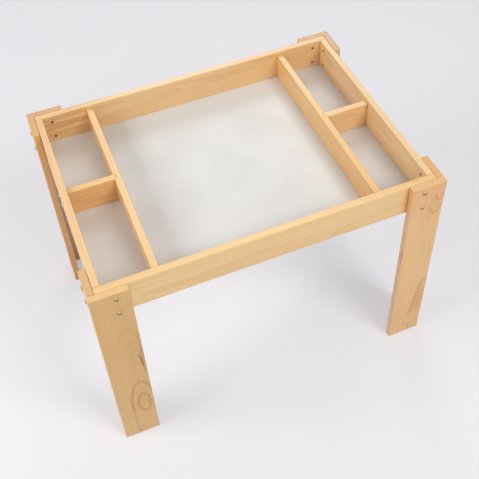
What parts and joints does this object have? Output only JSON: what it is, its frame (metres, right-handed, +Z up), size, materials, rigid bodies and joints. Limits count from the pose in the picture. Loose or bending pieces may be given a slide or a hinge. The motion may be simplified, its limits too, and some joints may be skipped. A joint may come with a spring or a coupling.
{
  "type": "sensory table",
  "caption": "Low softwood sensory table: a shallow tray with a white floor, a large play area and sorting bins at both ends, on L-shaped legs bolted to its corners.",
  "frame": {"origin": "on the floor under the middle of the tray", "axes": "+X along the table's length to the right, +Y from the front to the back, +Z up"},
  "size_m": [0.7666, 0.5686, 0.535],
  "materials": {
    "rail_pine": "planed pine, clear satin finish",
    "leg_pine": "planed pine, clear satin finish, a little darker",
    "divider_pine": "planed pine, clear satin finish",
    "panel_white": "hardboard with a smooth white face",
    "bolt_zinc": "zinc-plated, satin",
    "nut_zinc": "zinc-plated, dull",
    "screw_zinc": "zinc-plated, bright"
  },
  "bodies": {
    "root": {"front_rail": "rail_pine", "back_rail": "rail_pine", "left_end_rail": "rail_pine", "right_end_rail": "rail_pine", "left_long_divider": "divider_pine", "right_long_divider": "divider_pine", "left_cross_divider": "divider_pine", "right_cross_divider": "divider_pine", "floor_panel": "panel_white", "leg_front_left_face": "leg_pine", "leg_front_left_side": "leg_pine", "leg_back_left_face": "leg_pine", "leg_back_left_side": "leg_pine", "leg_front_right_face": "leg_pine", "leg_front_right_side": "leg_pine", "leg_back_right_face": "leg_pine", "leg_back_right_side": "leg_pine", "bolt_front_left_face_upper": "bolt_zinc", "bolt_front_left_face_lower": "bolt_zinc", "bolt_front_left_side_upper": "bolt_zinc", "bolt_front_left_side_lower": "bolt_zinc", "bolt_front_right_face_upper": "bolt_zinc", "bolt_front_right_face_lower": "bolt_zinc", "bolt_front_right_side_upper": "bolt_zinc", "bolt_front_right_side_lower": "bolt_zinc", "bolt_back_left_face_upper": "bolt_zinc", "bolt_back_left_face_lower": "bolt_zinc", "bolt_back_left_side_upper": "bolt_zinc", "bolt_back_left_side_lower": "bolt_zinc", "bolt_back_right_face_upper": "bolt_zinc", "bolt_back_right_face_lower": "bolt_zinc", "bolt_back_right_side_upper": "bolt_zinc", "bolt_back_right_side_lower": "bolt_zinc", "nut_front_left_face_upper": "nut_zinc", "nut_front_left_face_lower": "nut_zinc", "nut_front_left_side_upper": "nut_zinc", "nut_front_left_side_lower": "nut_zinc", "nut_front_right_face_upper": "nut_zinc", "nut_front_right_face_lower": "nut_zinc", "nut_front_right_side_upper": "nut_zinc", "nut_front_right_side_lower": "nut_zinc", "nut_back_left_face_upper": "nut_zinc", "nut_back_left_face_lower": "nut_zinc", "nut_back_left_side_upper": "nut_zinc", "nut_back_left_side_lower": "nut_zinc", "nut_back_right_face_upper": "nut_zinc", "nut_back_right_face_lower": "nut_zinc", "nut_back_right_side_upper": "nut_zinc", "nut_back_right_side_lower": "nut_zinc", "end_screw_left_upper": "screw_zinc", "end_screw_left_lower": "screw_zinc", "end_screw_right_upper": "screw_zinc", "end_screw_right_lower": "screw_zinc", "panel_screw_front_rail": "screw_zinc", "panel_screw_back_rail": "screw_zinc", "panel_screw_left_divider_front": "screw_zinc", "panel_screw_left_divider_back": "screw_zinc", "panel_screw_right_divider_front": "screw_zinc", "panel_screw_right_divider_back": "screw_zinc"}
  },
  "joints": []
}
